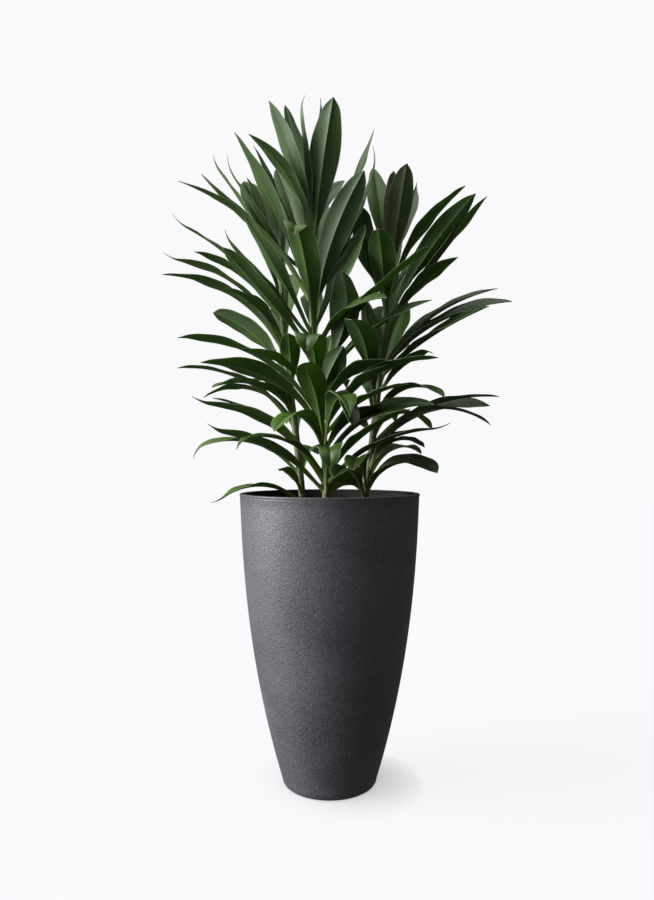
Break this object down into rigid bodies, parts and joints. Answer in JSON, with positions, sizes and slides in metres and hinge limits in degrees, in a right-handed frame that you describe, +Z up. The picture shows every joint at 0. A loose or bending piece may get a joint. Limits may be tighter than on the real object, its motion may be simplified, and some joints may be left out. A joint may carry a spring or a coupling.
{
  "type": "potted dracaena",
  "caption": "Leafy house plant on slim upright canes, with long-stalked lance-shaped leaves, growing in potting mix in a tall tapered planter.",
  "frame": {"origin": "on the planter's axis, at the surface that the planter stands on", "axes": "+Z up along the planter's axis, -Y towards the viewer of the picture, +X to the viewer's right"},
  "size_m": [0.6229, 0.4954, 1.2415],
  "materials": {
    "planter": "charcoal, fine sand-like grain",
    "potting_mix": "loose dark potting mix",
    "foliage": "semi-gloss dark green leaf, paler below"
  },
  "bodies": {
    "root": {"planter": "planter", "potting_mix": "potting_mix", "middle_cane": "foliage", "left_cane": "foliage", "right_cane": "foliage"}
  },
  "joints": []
}
